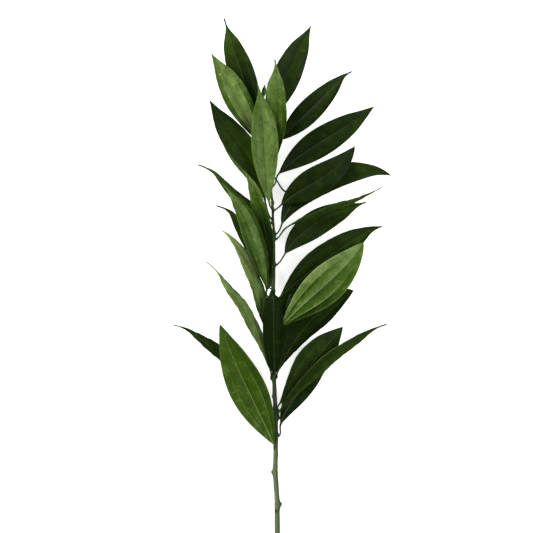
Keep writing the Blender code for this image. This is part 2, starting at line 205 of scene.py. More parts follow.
LEAVES = tuple(Leaf(*row) for row in (
    ("leaf_left_1", -154, 120, 37.5, 0.465, 6, (0, -6), 0.1, 0,
     ((-7.2, -149.6, 13.8), (-26.5, -108.6, 17), (-44.6, -70.4, 20), (-61.8, -28.1, 18)),
     Look((0.52, 0.45, 0.46, 0.35), (0.48, 0.42, 0.4, 0.3), 0.2, 0.8, 0.3, (0, 0, 0.1, 0.1))),
    ("leaf_left_2", -117, 200, 20, 0.45, 14, (40, 60), 0.5, 4,
     ((-19.5, -102.6, 11), (-45.8, -74, 8), (-74.6, -48.8, 8), (-107, -25.7, 7)),
     Look((0.15, 0.12, 0.1, 0.1), (0.05, 0.06, 0.1, 0.05), 0.1, 0.3, 0.1)),
    ("leaf_left_3", -85, 160, 20.5, 0.43, 5, (52, 62), 1, 5.2,
     ((-10.4, -77, 20.1), (-28.5, -29.5, 27.4), (-49.5, 3, 32), (-71.5, 37.5, 33)),
     Look((0.8, 0.9, 1, 1.2), (1.1, 1.1, 1, 0.2), 0.1, 0.3, 0.1)),
    ("leaf_left_4", -51, 170, 20.5, 0.45, 5, (48, 50), 0.1, 1.5,
     ((-16.7, -32.6, 23), (-22.5, 0.4, 27.6), (-35.8, 35.8, 30), (-58.6, 67.3, 28)),
     Look((0.6, 0.9, 0.7, 0.3), (1.7, 1.9, 2.2, 1.4), 0.2, 0.4, 0.1)),
    ("leaf_left_5", -6, 210, 19, 0.42, 10, (10, 30), 0.5, 10.5,
     ((-15, 5.4, 18.8), (-19.5, 33.5, 12.5), (-38, 64, 13), (-56.5, 95.3, 17.5)),
     Look((0.27, 0.15, 0.15, 0.15), (0.33, 0.33, 0.3, 0.3), 0.1, 0.2, 0.05)),
    ("leaf_left_6", 6, 145, 24, 0.45, 6, (30, 38), 0.7, 0,
     ((-14.7, 10.4, 30), (-24.5, 46.4, 37), (-38, 81.9, 40), (-59.2, 113, 38)),
     Look((0.2, 0.55, 0.7, 0.2), (0.78, 0.85, 0.75, 0.4), 0.5, 0.3, 0.1)),
    ("leaf_left_7", 9, 175, 24, 0.5, 5, (-48, -52), 0.7, 0,
     ((-10.5, 13.4, 26.5), (-14.2, 53.4, 29.5), (-23.5, 94.8, 29.5), (-40.6, 134.4, 28)),
     Look((-0.3, -0.25, -0.25, -0.15), (0.95, 0.85, 0.9, 1.1), 0.4, 0.2, 0.05)),
    ("leaf_left_8", 51, 210, 15, 0.38, 14, (10, 30), 0.3, 10.5,
     ((-13.5, 58.4, 24), (-24.5, 79.4, 15.2), (-49, 103, 16), (-75.3, 137.2, 25)),
     Look((-0.05, -0.02, 0.02, 0.02), (0.6, 0.5, 0.45, 0.1), 0.1, 0.2, 0.05)),
    ("leaf_left_9", 72, 160, 28, 0.53, 6, (12, 15), 0.3, 0,
     ((-16.7, 99.4, 33), (-30, 133.4, 36), (-51, 163.4, 37), (-71.6, 196.1, 34)),
     Look((0.1, 0.2, 0.25, 0.3), (0.05, 0.05, 0.04, 0), 0.15, 0.1, 0.03)),
    ("leaf_left_10", 136, 150, 27, 0.55, 8, (10, 20), 0.3, 0,
     ((-19.5, 150.4, 37), (-34.5, 178.5, 42), (-51, 209.5, 43), (-70.1, 242.5, 39)),
     Look((0.3, 0.9, 0.9, 0.3), (0.62, 0.68, 0.85, 0.88), 0.1, 0.2, 0.08, (-0.1, 0, 0.1, 0))),
    ("leaf_left_11", 152, 200, 27, 0.46, 6, (-10, -15), 0.9, 0,
     ((-21.5, 167.4, 30), (-34, 205.5, 28), (-46.5, 243.5, 29), (-57.6, 278.7, 30)),
     Look((-0.05, -0.05, -0.05, 0.05), (0.38, 0.38, 0.24, 0.24), 0.1, 0.15, 0.03)),
    ("leaf_right_1", -142, -10, 20, 0.48, 4, (0, 0), 0.3, 0,
     ((-1, -129.6, 9.5), (10.5, -105.6, 7.5), (27, -87.5, 6.5), (46, -72.5, 6)),
     Look((0,) * 4, (0.03, 0.04, 0.06, 0.06), 0, 0.2, 0.04)),
    ("leaf_right_2", -119, 10, 34, 0.55, -16, (45, 0), 0.2, 0,
     ((-3.4, -110.2, 18), (17.5, -84.6, 22), (39.5, -56.6, 24), (61.5, -30.6, 23)),
     Look((0.08, 0.13, 0.08, 0.06), (0.08, 0.12, 0.1, 0.12), 0.08, 0.35, 0.08)),
    ("leaf_right_3", -83, 15, 39.5, 0.555, -25, (46, 4), 0, 0,
     ((-4.6, -78.5, 20.5), (13.5, -45, 20), (39, -15, 24), (72.3, 5.9, 25)),
     Look((0.05, 0.04, 0.06, 0), (0.05, 0.12, 0.12, 0), 0.05, 0.2, 0.05)),
    ("leaf_right_4", -42, 60, 38, 0.54, 8, (5, 0), 0, 0,
     ((-2.2, -33.2, 29), (25.5, -4.6, 37), (54.5, 21.5, 41), (82, 53.9, 37)),
     Look((0.95, 0.65, 0.4, 0.12), (1, 0.9, 0.55, 0.7), 0.5, 0.9, 0.8, (0.3, -0.9, 0.6, 0.4))),
    ("leaf_right_5", -5, -5, 31, 0.45, -6, (10, 15), 0.4, -4,
     ((-0.5, 0.4, 25), (31, 27, 27), (64.4, 51.4, 29), (99.3, 73.3, 28)),
     Look((0.02, 0.06, 0.06, 0.1), (0.08, 0.12, 0.2, 0.03), 0.05, 0.15, 0.03)),
    ("leaf_right_6", 30, -20, 27, 0.45, 6, (5, 5), 0.6, 0,
     ((3.3, 42.4, 25), (24, 65.9, 22), (52.5, 82.4, 22), (85.3, 94.6, 21)),
     Look((0.04, 0.04, 0.05, 0.05), (0.16, 0.18, 0.18, 0.14), 0.05, 0.1, 0.03)),
    ("leaf_right_7", 56, 0, 17, 0.5, 4, (68, 72), 0.8, 0,
     ((4.5, 68.4, 31), (36.5, 84.1, 35), (69.5, 95.4, 36), (100.5, 109.4, 33)),
     Look((0.5, 0.25, 0.3, 0.45), (0.5, 0.55, 0.55, 0.3), 0.1, 0.2, 0.05)),
    ("leaf_right_8", 61, 20, 28, 0.46, 6, (5, 5), 0.1, -4,
     ((0, 71.4, 31), (23, 105.5, 30), (62, 123, 30), (110.1, 125, 28)),
     Look((0,) * 4, (0.2, 0.18, 0.1, 0.15), 0.05, 0.1, 0.02)),
    ("leaf_right_9", 85, 25, 30, 0.47, 5, (5, 5), 0, 0,
     ((-0.5, 91.4, 34), (22.5, 108, 38), (49, 124.5, 39), (73.3, 150, 36)),
     Look((0.04,) * 4, (0.03, 0.04, 0.05, 0), 0.05, 0.1, 0.02)),
    ("leaf_right_10", 109, 0, 29, 0.48, 5, (5, 5), 0.2, 0,
     ((-3, 122.4, 33), (25.8, 145.7, 31), (59.3, 167.1, 32), (92.5, 190, 30)),
     Look((0, 0, 0, 0.03), (0.06, 0.08, 0.12, 0.08), 0.05, 0.12, 0.02)),
    ("leaf_right_11", 134, 10, 24, 0.42, 6, (5, 0), 0.5, -4,
     ((-1, 156.5, 34), (22.1, 180, 34), (45.2, 203.2, 36), (67.8, 227.6, 34)),
     Look((0, 0, 0, 0.03), (0.1, 0.17, 0.15, 0), 0.05, 0.12, 0.02)),
    ("leaf_right_12", 156, -15, 29, 0.48, 6, (10, 15), 0.4, 0,
     ((-14.5, 172.4, 31), (-2.5, 204.4, 29), (13.5, 239.4, 31), (29.5, 270.6, 31)),
     Look((0, 0.05, 0.07, 0.08), (0.2, 0.1, 0.18, 0.1), 0.1, 0.12, 0.03)),
    ("leaf_front_1", -86, 80, 26.5, 0.455, -38, (3, 0), 0, 0,
     ((-6.9, -80.2, 21.7), (-7.8, -47, 36), (-8.2, -9, 44), (-7.2, 2, 34)),
     Look((0, 0, 0.05, 0), (0,) * 4, 0.03, 0.15, 0.03)),
    ("leaf_front_2", 84, 95, 28, 0.5, 6, (18, 10), 0.6, 0,
     ((-12, 92.4, 41), (-16, 132.4, 49), (-18.2, 172.4, 53), (-23.9, 211.4, 48)),
     Look((0.72, 0.72, 0.9, 0.82), (0.62, 0.65, 0.7, 0.6), 0.1, 0.35, 0.15, (0.2, 0.15, 0, 0))),
    ("leaf_front_3", 116, 60, 24, 0.48, 10, (-20, -20), 0.6, 1.8,
     ((-6, 136.4, 40), (-5, 170.4, 44), (-5.5, 203.4, 45), (-4.9, 237, 41)),
     Look((0.62, 0.6, 0.45, 0.2), (0.8, 0.72, 0.76, 0.78), 0.1, 0.2, 0.08)),
    ("leaf_back_1", -58, -50, 20, 0.38, 5, (0, 0), 0.3, 0,
     ((-2.5, -49, 15.5), (2, -23, 12.5), (7.5, 2, 8.5), (14.5, 26.4, 5)),
     Look((0.1,) * 4, (0.17,) * 4, 0.1, 0.2, 0.05)),
    ("leaf_back_2", 76, 225, 22, 0.5, 4, (0, 0), 0.5, 0,
     ((-17.5, 98.4, 25), (-33.5, 130.4, 10), (-50.5, 157.4, -0.6), (-66.5, 184.4, 3)),
     Look((0.5,) * 4, (0.22,) * 4, 0.1, 0.3, 0.08)),
    ("leaf_back_3", 118, -40, 21, 0.5, 4, (0, 0), 0.5, 0,
     ((5, 105, 22), (25, 108, 9), (47, 114, -0.6), (70, 121, 3)),
     Look((0.17,) * 4, (0.22,) * 4, 0.1, 0.3, 0.08)),
    ("leaf_right_13", -125, 20, 15.5, 0.48, 14, (38, 34), 0.6, -2,
     ((-2.8, -116.4, 18), (28.2, -79.2, 28), (64, -49.8, 27), (105.2, -26, 22)),
     Look((0.12, 0.14, 0.2, 0.25), (0.32, 0.35, 0.3, 0.3), 0.8, 0.12, 0.1)),
    ("leaf_young", 190, 60, 5, 0.45, 25, (0, 0), 0.6, 0,
     ((-18.6, 198.4, 35.6), (-17.9, 203, 35.9), (-17.3, 207.4, 36), (-16.9, 211.2, 36)),
     Look((0.5,) * 4, (0.6,) * 4, 0.1, 0.1, 0.05)),
))

# How far the marks of each leaf are moved from those of the one before
OFFSET_STEP = 0.37

# Finishes: depth of the fine relief in metres, and how strongly the surface mirrors the lights
LEAF_RELIEF, LEAF_GLOSS = 0.0002, 0.085
BARK_RELIEF, BARK_GLOSS = 0.00015, 0.3
CUT_RELIEF, CUT_ROUGHNESS = 0.0002, 0.75

# Colours of small marks on the stem, one of them the pale spot of a painted highlight, and the side of
# the stem that is painted as lit, as a share of a turn
WORN_BARK = (0.3, 0.34, 0.2)
CORK_DOT = (0.26, 0.27, 0.15)
PAINTED_HIGHLIGHT_SPOT = (0.3, 0.34, 0.26)
WOOD_RAY = (0.36, 0.36, 0.18)
LIT_SIDE = 0.42

# The photograph's frame in metres: its width on the model, its middle, and the camera's place
FRAME_WIDTH = 0.533
FRAME_MIDDLE = (-0.015, 0.0299)
FOCUS_HEIGHT = 0.035
CAMERA_DISTANCE = 5.0
SENSOR_WIDTH = 36.0

# The stage in metres and watts: the floor, just clear of the branch, and two soft lights, each
# with its place, size and power
FLOOR_REACH = 3.0
FLOOR_HEIGHT = -0.0003
FLOOR_GLOW = 0.7
LIGHT_TINT = (1.0, 1.0, 0.97)
LIGHTS = (
    ("key_light", (-1.25, 1.0, 1.25), 1.1, 38.0),
    ("fill_light", (1.2, 0.25, 1.5), 1.2, 22.0),
)

# The room's soft light: its least strength, and how much it gains towards the walls
ROOM_LIGHT = 0.03
ROOM_GAIN = 0.3

WHITE = (1.0, 1.0, 1.0)
FLOAT, COLOUR = "NodeSocketFloat", "NodeSocketColor"
STRIPS = ("Outer Left", "Inner Left", "Inner Right", "Outer Right")
LEAF_TINTS = ("Deep", "Fresh", "Pale", "Nerve", "Underside")
LEAF_NUMBERS = (
    *(f"{kind} {strip}" for kind in ("Foot", "Tip", "Lean") for strip in STRIPS),
    "Rim", "Nerve Show", "Side Show", "Nerve Place", "Offset",
)
BARK_TINTS = ("Bark", "Old Bark", "Scar")


def length(name, description, default):
    """A length that a user can change."""
    return FloatProperty(name=name, description=description, default=default, unit="LENGTH")


class BranchSizes(bpy.types.PropertyGroup):
    """Sizes of the branch that show from close by."""

    blade_thickness: length("Blade thickness", "Thickness of a blade between its nerves", 0.00045)
    margin_thickness: length("Margin thickness", "Thickness of a blade at its margin", 0.0003)
    midrib_depth: length("Midrib depth", "How far the midrib stands out below a blade's foot", 0.0008)
    stalk_radius: length("Stalk radius", "Radius of a leaf's stalk at its middle", 0.0008)
    nerve_place: FloatProperty(
        name="Side nerve place",
        description="Where the two side nerves run, as a share of the half width",
        default=0.58, min=0.2, max=0.9, subtype="FACTOR",
    )
    quilt: length("Quilt", "How far the blade arches up between two main nerves", 0.00014)
    ripple: length("Ripple", "Height of the short waves in a margin", 0.00022)
    bark_ridge: length("Bark ridge", "Height of the ridges along the stem", 0.00006)


def colour(name, description, default):
    """A colour that a user can change."""
    return FloatVectorProperty(
        name=name, description=description, default=default, size=3, min=0.0, max=1.0, subtype="COLOR"
    )


class BranchColours(bpy.types.PropertyGroup):
    """Colours of the branch and of the stage."""

    deep: colour("Deep green", "Leaves in the shade of the others", (0.0045, 0.0118, 0.0007))
    fresh: colour("Fresh green", "A full-grown leaf in the light", (0.041, 0.089, 0.005))
    # The pale green is the colour of a painted sheen of light on the glossy leaves.
    pale: colour("Pale green", "The palest leaves", (0.14, 0.215, 0.055))
    nerve: colour("Nerve", "Midrib and side nerves", (0.24, 0.33, 0.11))
    underside: colour("Underside", "Lower face of a leaf", (0.075, 0.13, 0.045))
    # The bark among the leaves is darker partly as painted shade of the leaves over it; the old bark is
    # the colour of the stem's lit side, whose shaded side is painted darker.
    bark: colour("Bark", "Green bark among the leaves", (0.035, 0.055, 0.018))
    old_bark: colour("Old bark", "Paler bark of the bare stem", (0.15, 0.2, 0.085))
    scar: colour("Scar", "Corky scars and dried buds", (0.035, 0.04, 0.022))
    wood: colour("Wood", "Cut face of the stem", (0.5, 0.48, 0.28))
    pith: colour("Pith", "Soft middle of the cut face", (0.75, 0.73, 0.55))
    floor: colour("Floor", "The plain floor", (0.9, 0.9, 0.9))


def solid(tint):
    """A colour with full cover."""
    return (*tint, 1.0)


class Graph:
    """Adds nodes to a node tree. An input is given as a value or as the socket that feeds it."""

    def __init__(self, tree):
        self.tree = tree

    def feed(self, node, inputs):
        """Gives a node its inputs."""
        for key, value in inputs.items():
            if isinstance(value, bpy.types.NodeSocket):
                self.tree.links.new(value, node.inputs[key])
            else:
                node.inputs[key].default_value = value

    def node(self, kind, inputs=None, **settings):
        """A new node of this kind, with its settings and inputs."""
        made = self.tree.nodes.new(kind)
        for name, value in settings.items():
            setattr(made, name, value)
        self.feed(made, inputs or {})
        return made

    def math(self, operation, a, b=0.0, c=0.0):
        """One operation on up to three numbers."""
        return self.node("ShaderNodeMath", {0: a, 1: b, 2: c}, operation=operation).outputs[0]

    def times(self, a, b, plus=None):
        """The product of a and b, with plus added if it is given."""
        if plus is None:
            return self.math("MULTIPLY", a, b)
        return self.math("MULTIPLY_ADD", a, b, plus)

    def layered(self, start, *layers):
        """A number to which each layer adds its mask times its amount."""
        for mask, amount in layers:
            start = self.times(mask, amount, start)
        return start

    def step(self, value, low, high):
        """Rises smoothly from 0 at low to 1 at high. With low above high it falls."""
        inputs = {"Value": value, "From Min": low, "From Max": high}
        made = self.node("ShaderNodeMapRange", inputs, interpolation_type="SMOOTHSTEP")
        return made.outputs["Result"]

    def mix(self, share, a, b, clamp=True):
        """A colour from a at share 0 to b at share 1, and past b if it isn't clamped."""
        made = self.node("ShaderNodeMix", {0: share, 6: a, 7: b}, data_type="RGBA", clamp_factor=clamp)
        return made.outputs[2]

    def mix_value(self, share, a, b):
        """A number from a at share 0 to b at share 1."""
        made = self.node("ShaderNodeMix", {0: share, 2: a, 3: b}, data_type="FLOAT", clamp_factor=True)
        return made.outputs[0]

    def noise(self, vector, scale, detail=2.0):
        """Soft noise around 0.5."""
        inputs = {"Vector": vector, "Scale": scale, "Detail": detail}
        return self.node("ShaderNodeTexNoise", inputs).outputs["Fac"]

    def cells(self, vector, scale, **settings):
        """Random cells: the distance from a cell's middle or edge, and the cell's colour."""
        inputs = {"Vector": vector, "Scale": scale}
        return self.node("ShaderNodeTexVoronoi", inputs, **settings).outputs

    def bump(self, height, depth):
        """Normal of a relief of this depth in metres."""
        inputs = {"Height": height, "Distance": depth, "Strength": 1.0}
        return self.node("ShaderNodeBump", inputs).outputs["Normal"]

    def uv_map(self, name):
        """A place in one of the mesh's maps."""
        return self.node("ShaderNodeUVMap", uv_map=name).outputs[0]

    def numbers(self, vector):
        """The three numbers of a vector."""
        return self.node("ShaderNodeSeparateXYZ", {0: vector}).outputs

    def vector_math(self, operation, a, b):
        """One operation on two vectors."""
        return self.node("ShaderNodeVectorMath", {0: a, 1: b}, operation=operation).outputs[0]


def surface_group(name, tint_labels, number_labels=()):
    """A new node group with these inputs. Returns its graph and the sockets that it is given."""
    group = bpy.data.node_groups.new(name, "ShaderNodeTree")
    for label in tint_labels:
        group.interface.new_socket(label, in_out="INPUT", socket_type=COLOUR)
    for label in number_labels:
        group.interface.new_socket(label, in_out="INPUT", socket_type=FLOAT)
    for label, kind in (("Color", COLOUR), ("Roughness", FLOAT), ("Height", FLOAT)):
        group.interface.new_socket(label, in_out="OUTPUT", socket_type=kind)
    return Graph(group), group.nodes.new("NodeGroupInput").outputs


def put_out(g, shown, rough, relief):
    """Ends a surface's group with what it puts out."""
    g.node("NodeGroupOutput", {"Color": shown, "Roughness": rough, "Height": relief})
    return g.tree


def blade_places(g, offset):
    """Where a point lies on its blade, and three sizes of noise there.

    along and across are shares of the blade's length and half width. run and sideways are in
    decimetres, sideways from the midrib with the left below 0. below is 1 on the lower face.
    """
    place = g.numbers(g.uv_map("blade"))
    along, face = place[0], place[1]
    below = g.math("GREATER_THAN", face, 1.0)
    across = g.math("ABSOLUTE", g.times(g.math("FRACT", face), 2.0, -1.0))
    reach_map = g.uv_map("reach")
    spot = g.node("ShaderNodeCombineXYZ", {0: offset, 1: offset, 2: below}).outputs[0]
    spread = g.vector_math("ADD", reach_map, spot)
    reach = g.numbers(reach_map)
    return SimpleNamespace(
        along=along,
        across=across,
        below=below,
        run=reach[0],
        sideways=reach[1],
        off=g.math("ABSOLUTE", reach[1]),
        spread=spread,
        broad=g.noise(spread, 9.0, 3.0),
        blotches=g.noise(spread, 32.0, 2.0),
        fine=g.noise(spread, 90.0, 3.0),
    )


def nerve_masks(g, at, nerve_place):
    """Masks of the midrib, the two side nerves, the slanting branches and the net of fine nerves."""
    rib_width = g.times(at.along, -0.0045, 0.0055)
    rib_fall = g.times(rib_width, 0.35)
    away = g.math("ABSOLUTE", g.math("SUBTRACT", at.across, nerve_place))
    slant = g.times(at.off, -1.1, at.run)
    turns = g.times(slant, 12.0, g.times(at.broad, 0.9))
    cell = g.math("ABSOLUTE", g.math("SUBTRACT", g.math("FRACT", turns), 0.5))
    net = g.cells(at.spread, 55.0, feature="DISTANCE_TO_EDGE")
    return SimpleNamespace(
        midrib=g.times(g.step(at.off, rib_width, rib_fall), g.step(at.along, 1.0, 0.8)),
        side=g.times(g.step(away, 0.04, 0.005), g.step(at.along, 0.8, 0.3)),
        branch=g.times(g.step(cell, 0.07, 0.0), g.step(at.across, 0.95, 0.6)),
        net=g.step(net["Distance"], 0.09, 0.01),
    )


def drop_masks(g, spread):
    """Masks of water drops in some of the cells, where a highlight is painted, and of their rims, where
    shade is painted.
    """
    drops = g.cells(spread, 5.0)
    chance = g.node("ShaderNodeSeparateColor", {0: drops["Color"]}).outputs[0]
    held = g.math("GREATER_THAN", chance, 0.6)
    drop = g.times(g.step(drops["Distance"], 0.065, 0.055), held)
    return drop, g.times(drop, g.step(drops["Distance"], 0.03, 0.045))


def strip_tone(g, given, at):
    """Tone of the four strips that the nerves part, before any marks: painted light and shade, with lit
    and shaded strips, a change from foot to tip and a lean across each strip.
    """
    # The change from the foot's tones to the tip's is a painted gradient of light and shade along the
    # leaf.
    grown = g.step(at.along, 0.25, 1.0)
    tones = [g.mix_value(grown, given[f"Foot {strip}"], given[f"Tip {strip}"]) for strip in STRIPS]
    leans = [given[f"Lean {strip}"] for strip in STRIPS]
    right = g.step(at.sideways, -0.006, 0.006)
    past_nerve = g.math("SUBTRACT", at.across, given["Nerve Place"])
    outer = g.step(past_nerve, -0.025, 0.025)
    plain, lean = (
        g.mix_value(right, g.mix_value(outer, four[1], four[0]), g.mix_value(outer, four[2], four[3]))
        for four in (tones, leans)
    )
    inner_share = g.math("DIVIDE", at.across, given["Nerve Place"])
    outer_share = g.math("DIVIDE", past_nerve, g.math("SUBTRACT", 1.0, given["Nerve Place"]))
    share = g.math("SUBTRACT", g.mix_value(outer, inner_share, outer_share), 0.5)
    lean = g.times(lean, g.step(at.along, 1.0, 0.5))
    return g.times(share, lean, plain)


def marked_tone(g, given, at, nerves, drop, drop_shade_rim):
    """Tone of the blade with its patches, haze, painted rim highlight, specks, the painted highlights
    and shaded rims of water drops, and fine nerves.
    """
    plain = strip_tone(g, given, at)
    strength = g.math("ADD", plain, 0.2)
    patchy = g.times(at.broad, 0.9, g.times(at.blotches, 0.45))
    patchy = g.math("ADD", g.times(at.fine, 0.3, -0.825), patchy)
    haze = g.times(g.step(at.blotches, 0.56, 0.72), g.step(at.broad, 0.45, 0.6))
    speck = g.step(g.cells(at.spread, 11.0)["Distance"], 0.07, 0.05)
    return g.layered(
        plain,
        (patchy, strength),
        (haze, g.times(strength, 0.3)),
        # The pale margin is a painted highlight along the rim.
        (g.step(at.across, 0.93, 0.985), given["Rim"]),
        (speck, 0.2),
        # A water drop gets a painted highlight inside and painted shade round its rim.
        (drop, g.times(strength, 0.25)),
        (drop_shade_rim, g.times(strength, -0.7)),
        (nerves.branch, g.times(given["Nerve Show"], 0.12)),
        (nerves.net, 0.03),
    )


def leaf_colour(g, given, at, nerves, tone):
    """The green of the tone with its nerves, or the lower face, or the stalk."""
    # The tone runs from the deep green of painted shade through the fresh green to the pale green of a
    # painted sheen, and on past it unclamped for more painted light.
    dull = g.mix(g.times(tone, 2.0), given["Deep"], given["Fresh"])
    sheen_share = g.math("MAXIMUM", g.times(tone, 2.0, -1.0), 0.0)
    green = g.mix(sheen_share, dull, given["Pale"], clamp=False)
    drawn = g.times(nerves.midrib, given["Nerve Show"])
    drawn = g.times(nerves.side, given["Side Show"], drawn)
    upper = g.mix(drawn, green, given["Nerve"])
    lines = g.times(nerves.side, 0.4, nerves.midrib)
    lines = g.math("ADD", g.times(lines, 0.6), g.times(nerves.branch, 0.2))
    lower = g.mix(lines, given["Underside"], given["Nerve"])
    blade = g.mix(at.below, upper, lower)
    # The stalk's dark green, mixed mostly from the deep green, is partly painted shade.
    stalk = g.mix(0.14, given["Deep"], given["Nerve"])
    return g.mix(g.step(at.along, 0.02, -0.01), blade, stalk)


def leaf_surface_group():
    """Greens with painted light and shade, nerves and fine relief of a blade, laid out along and across
    it.
    """
    known = bpy.data.node_groups.get("Leaf surface")
    if known:
        return known
    g, given = surface_group("Leaf surface", LEAF_TINTS, LEAF_NUMBERS)
    at = blade_places(g, given["Offset"])
    nerves = nerve_masks(g, at, given["Nerve Place"])
    drop, drop_shade_rim = drop_masks(g, at.spread)
    tone = marked_tone(g, given, at, nerves, drop, drop_shade_rim)
    rough = g.times(at.fine, 0.14, 0.36)
    rough = g.times(at.below, 0.22, rough)
    relief = g.layered(
        g.times(at.fine, 0.22),
        (nerves.net, -0.12),
        (nerves.branch, g.times(given["Nerve Show"], -0.5)),
        (nerves.side, g.times(given["Side Show"], -1.2)),
        (drop, 0.5),
    )
    return put_out(g, leaf_colour(g, given, at, nerves, tone), rough, relief)


def bark_group():
    """Bark with fine ridges, pale cork dots and dark scars, painted shade on the side away from the
    light, painted highlight spots, and a darker green among the leaves that is partly painted shade.
    """
    known = bpy.data.node_groups.get("Bark")
    if known:
        return known
    g, given = surface_group("Bark", BARK_TINTS)
    around_map = g.uv_map("around")
    marks = g.numbers(g.uv_map("marks"))
    age_and_leaf_shade = marks[1]
    scar = g.times(marks[0], 2.0, -1.0)
    around = g.numbers(around_map)[0]
    # The side turned away from LIT_SIDE is painted darker, as painted shade, along with the dark
    # streaks.
    turned = g.math("COSINE", g.times(around, 2 * math.pi, -2 * math.pi * LIT_SIDE))
    shaded = g.step(turned, 0.75, -0.5)
    streak = g.noise(g.vector_math("MULTIPLY", around_map, (90.0, 16.0, 1.0)), 1.0, 4.0)
    dots = g.cells(g.vector_math("MULTIPLY", around_map, (60.0, 42.0, 1.0)), 1.0)
    cork = g.step(dots["Distance"], 0.2, 0.08)
    patch = g.noise(around_map, 22.0, 3.0)
    # Among the leaves the bark is a darker green, partly its young colour and partly painted shade of
    # the leaves over it.
    green = g.mix(age_and_leaf_shade, given["Bark"], given["Old Bark"])
    duller = {"Color": green, "Value": 0.36, "Saturation": 1.1}
    dark = g.node("ShaderNodeHueSaturation", duller).outputs[0]
    streak_and_shade_share = g.times(g.step(streak, 0.4, 0.75), 0.7, shaded)
    streaked_and_shaded = g.mix(streak_and_shade_share, green, dark)
    worn = g.mix(g.times(g.step(patch, 0.58, 0.74), 0.5), streaked_and_shaded, solid(WORN_BARK))
    dotted = g.mix(g.times(cork, 0.35), worn, solid(CORK_DOT))
    # Marks below 0 paint pale spots: painted highlights on the stem.
    bare = g.mix(g.times(scar, -1.0), dotted, solid(PAINTED_HIGHLIGHT_SPOT))
    shown = g.mix(scar, bare, given["Scar"])
    rough = g.times(streak, 0.2, 0.48)
    relief = g.math("ADD", g.times(streak, 0.6), g.times(cork, 0.6))
    return put_out(g, shown, rough, relief)


def new_material(name):
    """A new material, the graph of its nodes and its shader."""
    material = bpy.data.materials.new(name)
    material.use_nodes = True
    g = Graph(material.node_tree)
    return material, g, material.node_tree.nodes["Principled BSDF"]


def finished_material(name, group, values, relief_depth, gloss):
    """A material that takes colour, roughness and relief from a group."""
    material, g, shader = new_material(name)
    surface = g.node("ShaderNodeGroup", values, node_tree=group).outputs
    normal = g.bump(surface["Height"], relief_depth)
    g.feed(shader, {"Base Color": surface["Color"], "Roughness": surface["Roughness"], "Normal": normal})
    g.feed(shader, {"Specular IOR Level": gloss})
    return material


def tints(labels):
    """The user's colours with these labels."""
    colours = bpy.context.scene.branch_colours
    return {label: solid(getattr(colours, label.lower().replace(" ", "_"))) for label in labels}


def leaf_material(leaf, place):
    """A leaf's green with its painted light and shade, nerves and gloss. Its place in the table moves
    its marks.
    """
    look = leaf.look
    values = tints(LEAF_TINTS) | {
        "Rim": look.rim,
        "Nerve Show": look.nerve,
        "Side Show": look.side,
        "Nerve Place": bpy.context.scene.branch_sizes.nerve_place,
        "Offset": OFFSET_STEP * place,
    }
    for kind, four in (("Foot", look.foot), ("Tip", look.tip), ("Lean", look.lean)):
        values |= {f"{kind} {strip}": value for strip, value in zip(STRIPS, four)}
    surface = leaf_surface_group()
    return finished_material(leaf.name + "_surface", surface, values, LEAF_RELIEF, LEAF_GLOSS)


def cut_material(colours):
    """The cut face: a thin green rim, pale wood with fine rays, and a soft pith."""
    material, g, shader = new_material("cut_face")
    grain = g.noise(g.node("ShaderNodeTexCoord").outputs["Object"], 2500.0, 4.0)
    out_way = g.numbers(g.uv_map("around"))[0]
    wood = g.mix(g.step(grain, 0.35, 0.7), solid(colours.wood), solid(WOOD_RAY))
    pithy = g.mix(g.step(out_way, PITH_SHARE + 0.02, PITH_SHARE - 0.02), wood, solid(colours.pith))
    rimmed = g.mix(g.step(out_way, 0.84, 0.9), pithy, solid(colours.bark))
    normal = g.bump(grain, CUT_RELIEF)
    g.feed(shader, {"Base Color": rimmed, "Roughness": CUT_ROUGHNESS, "Normal": normal})
    return material


def unit(vector):
    return vector / np.linalg.norm(vector)


def smooth(value, low, high):
    """Rises smoothly from 0 at low to 1 at high. With low above high it falls."""
    t = np.clip((value - low) / (high - low), 0.0, 1.0)
    return t * t * (3 - 2 * t)


def smooth_course(t, start, start_way, end, end_way):
    """Point at t, from 0 to 1, of the smooth curve that leaves start and reaches end in these ways."""
    return (
        (1 + 2 * t) * (1 - t) ** 2 * start
        + t * (1 - t) ** 2 * start_way
        + t * t * (3 - 2 * t) * end
        + t * t * (t - 1) * end_way
    )


def stem_at(y):
    """Middle and radius of the stem at y, on a smooth curve through its course."""
    course = np.array(STEM_COURSE)
    places, values = course[:, 0], course[:, 1:]
    slopes = np.gradient(values, places, axis=0)
    i = int(np.clip(np.searchsorted(places, y) - 1, 0, len(places) - 2))
    step = places[i + 1] - places[i]
    t = (y - places[i]) / step
    x, z, radius = smooth_course(t, values[i], step * slopes[i], values[i + 1], step * slopes[i + 1])
    return np.array((x, y, z)), radius


def outward(side):
    """Direction in which a stalk leaves the stem: around it at the angle side, tilted to its tip."""
    around, tilt = math.radians(side), math.radians(SEAT_TILT)
    return np.array(
        (math.cos(around) * math.cos(tilt), math.sin(tilt), math.sin(around) * math.cos(tilt))
    )


def cross_frame(ahead, roll):
    """Left and upward unit vectors across the direction ahead, turned about it by roll degrees."""
    left = unit(np.cross((0, 0, 1), ahead))
    up = np.cross(ahead, left)
    angle = math.radians(roll)
    return (
        left * math.cos(angle) + up * math.sin(angle),
        up * math.cos(angle) - left * math.sin(angle),
    )


def through_four(points, u):
    """The smooth curve that passes four points at u = 0, 1/3, 2/3 and 1."""
    t = 3 * u
    weights = (
        -(t - 1) * (t - 2) * (t - 3) / 6,
        t * (t - 2) * (t - 3) / 2,
        -t * (t - 1) * (t - 3) / 2,
        t * (t - 1) * (t - 2) / 6,
    )
    return sum(weight * np.array(point, float) for weight, point in zip(weights, points))


